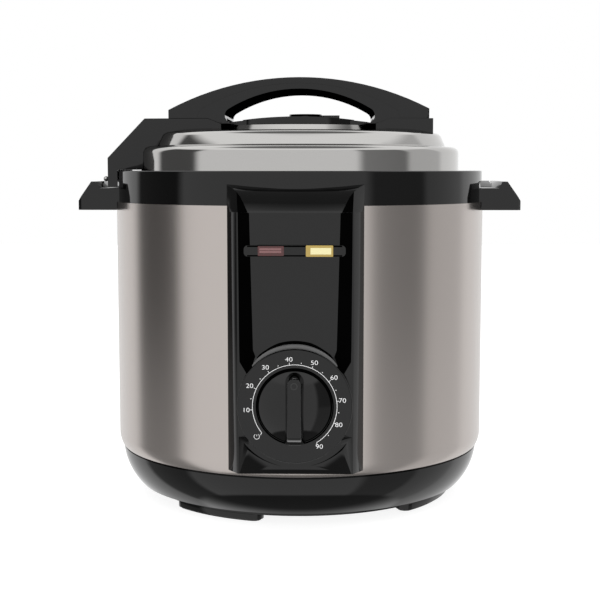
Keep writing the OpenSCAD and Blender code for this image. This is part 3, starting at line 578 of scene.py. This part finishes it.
def blended(nodes, links, factor, a, b):
    """Mix of two grey levels, each a number or a socket."""
    node = nodes.new("ShaderNodeMix")
    links.new(factor, node.inputs["Factor"])
    for key, value in (("A", a), ("B", b)):
        if isinstance(value, float):
            node.inputs[key].default_value = value
        else:
            links.new(value, node.inputs[key])
    return node.outputs["Result"]


def studio_world():
    """White studio with dark flags at the sides, overhead and under the front, which band the steel."""
    world = bpy.data.worlds.new("studio")
    bpy.context.scene.world = world
    world.use_nodes = True
    nodes, links = world.node_tree.nodes, world.node_tree.links
    nodes.clear()
    out = nodes.new("ShaderNodeOutputWorld")
    coords = nodes.new("ShaderNodeTexCoord")
    split = nodes.new("ShaderNodeSeparateXYZ")
    links.new(coords.outputs["Generated"], split.inputs[0])
    # azimuth from -Y, positive towards +X, as a share of a turn: 0.5 is straight in front of the panel
    back = nodes.new("ShaderNodeMath")
    back.operation = "MULTIPLY"
    back.inputs[1].default_value = -1
    links.new(split.outputs["Y"], back.inputs[0])
    azimuth = nodes.new("ShaderNodeMath")
    azimuth.operation = "ARCTAN2"
    links.new(split.outputs["X"], azimuth.inputs[0])
    links.new(back.outputs[0], azimuth.inputs[1])
    share = nodes.new("ShaderNodeMapRange")
    share.inputs["From Min"].default_value = -math.pi
    share.inputs["From Max"].default_value = math.pi
    links.new(azimuth.outputs[0], share.inputs["Value"])
    bands = nodes.new("ShaderNodeValToRGB")
    ramp = bands.color_ramp
    while len(ramp.elements) < len(STUDIO_BANDS):
        ramp.elements.new(0.5)
    for element, (degrees, level) in zip(ramp.elements, STUDIO_BANDS):
        element.position = (degrees + 180) / 360
        element.color = (level, level, level, 1)
    links.new(share.outputs["Result"], bands.inputs["Fac"])
    height = split.outputs["Z"]
    lower = stepped(nodes, links, height, -0.24, -0.09, 0.22, 0.0)
    level = blended(nodes, links, lower, bands.outputs["Color"], 1.0)
    high = stepped(nodes, links, height, 0.52, 0.64, 0.0, 1.0)
    level = blended(nodes, links, high, level, 1.25)
    overhead = stepped(nodes, links, height, 0.82, 0.93, 0.0, 1.0)
    level = blended(nodes, links, overhead, level, 0.22)
    under = stepped(nodes, links, height, -0.84, -0.79, 1.0, 0.0)
    below = stepped(nodes, links, split.outputs["Y"], -0.08, 0.45, 0.2, 1.8)
    level = blended(nodes, links, under, level, below)
    room = nodes.new("ShaderNodeBackground")
    links.new(level, room.inputs["Color"])
    plain = nodes.new("ShaderNodeBackground")
    plain.inputs["Color"].default_value = (1, 1, 1, 1)
    seen = nodes.new("ShaderNodeLightPath")
    pick = nodes.new("ShaderNodeMixShader")
    links.new(seen.outputs["Is Glossy Ray"], pick.inputs["Fac"])
    links.new(plain.outputs[0], pick.inputs[1])
    links.new(room.outputs[0], pick.inputs[2])
    links.new(pick.outputs[0], out.inputs["Surface"])


def floor():
    size = 6.0
    mesh = bpy.data.meshes.new("studio_floor")
    h = size / 2
    mesh.from_pydata([(-h, -h, 0), (h, -h, 0), (h, h, 0), (-h, h, 0)], [], [(0, 1, 2, 3)])
    piece = bpy.data.objects.new("studio_floor", mesh)
    bpy.context.scene.collection.objects.link(piece)
    mat, _, _, shader = new_material("pale_floor", (0.3, 0.3, 0.3), 0.8)
    shader.inputs["Emission Color"].default_value = (1, 1, 1, 1)
    shader.inputs["Emission Strength"].default_value = 0.88
    piece.data.materials.append(mat)
    piece.visible_glossy = False


def area_light(name, place, target, size, power):
    lamp = bpy.data.lights.new(name, "AREA")
    lamp.shape = "RECTANGLE"
    lamp.size, lamp.size_y = size
    lamp.energy = power
    piece = bpy.data.objects.new(name, lamp)
    piece.location = place
    piece.rotation_euler = (Vector(target) - Vector(place)).to_track_quat("-Z", "Y").to_euler()
    piece.visible_glossy = False
    bpy.context.scene.collection.objects.link(piece)


def camera():
    """Level with the collar's top, in front and a little to the right, tilted down."""
    azimuth = math.radians(1.2)
    distance = 0.9535
    tilt = math.radians(5.99)
    lens = bpy.data.cameras.new("camera")
    lens.sensor_width = 36
    lens.lens = 75.55
    lens.shift_x = 0.0005
    piece = bpy.data.objects.new("camera", lens)
    piece.location = (distance * math.sin(azimuth), -distance * math.cos(azimuth), COLLAR_TOP + 0.00197)
    piece.rotation_euler = (math.pi / 2 - tilt, 0, azimuth)
    bpy.context.scene.collection.objects.link(piece)
    bpy.context.scene.camera = piece


studio_world()
floor()
area_light("top_softbox", (0, -0.3, 1.6), (0, 0, 0.2), (1.4, 1.0), 12)
camera()
bpy.context.scene.view_settings.view_transform = "Standard"
